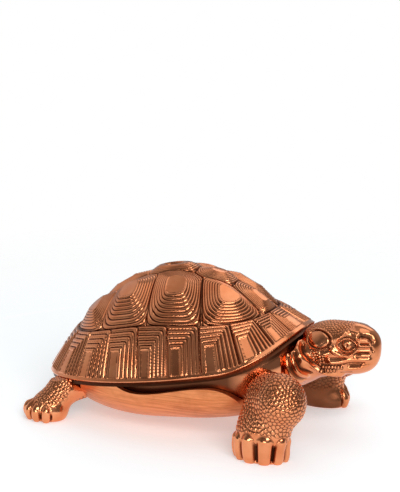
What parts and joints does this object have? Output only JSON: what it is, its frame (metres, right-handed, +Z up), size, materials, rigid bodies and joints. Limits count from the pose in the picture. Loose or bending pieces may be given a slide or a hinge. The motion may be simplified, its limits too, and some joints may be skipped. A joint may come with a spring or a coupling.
{
  "type": "turtle figurine",
  "caption": "Standing tortoise figurine with a domed lift-off shell over a hollow body, straight neck, four scaly legs and a short tail.",
  "frame": {"origin": "bottom centre of the bounding box, on the surface that the soles stand on", "axes": "+X towards the head, +Y to the figure's left, +Z up"},
  "size_m": [0.2277, 0.1424, 0.1011],
  "materials": {
    "polished_copper": "polished cast copper, dark in the grooves",
    "brushed_copper": "fine brushed copper",
    "steel": "plain",
    "washer_brass": "plain"
  },
  "bodies": {
    "figure": {"body_tub": "polished_copper", "belly_plate": "brushed_copper", "head": "polished_copper", "tail": "polished_copper", "fore_leg_right": "polished_copper", "fore_leg_left": "polished_copper", "hind_leg_right": "polished_copper", "hind_leg_left": "polished_copper", "leg_screws": "steel", "neck_screw": "steel", "tail_screw": "steel", "belly_screws": "steel", "screw_washers": "washer_brass"},
    "shell": {"carapace": "polished_copper"}
  },
  "joints": [
    {"name": "shell_lift", "type": "slide", "parent": "figure", "child": "shell", "axis": [0, 0, 1], "range_m": [0, 0.1]}
  ]
}
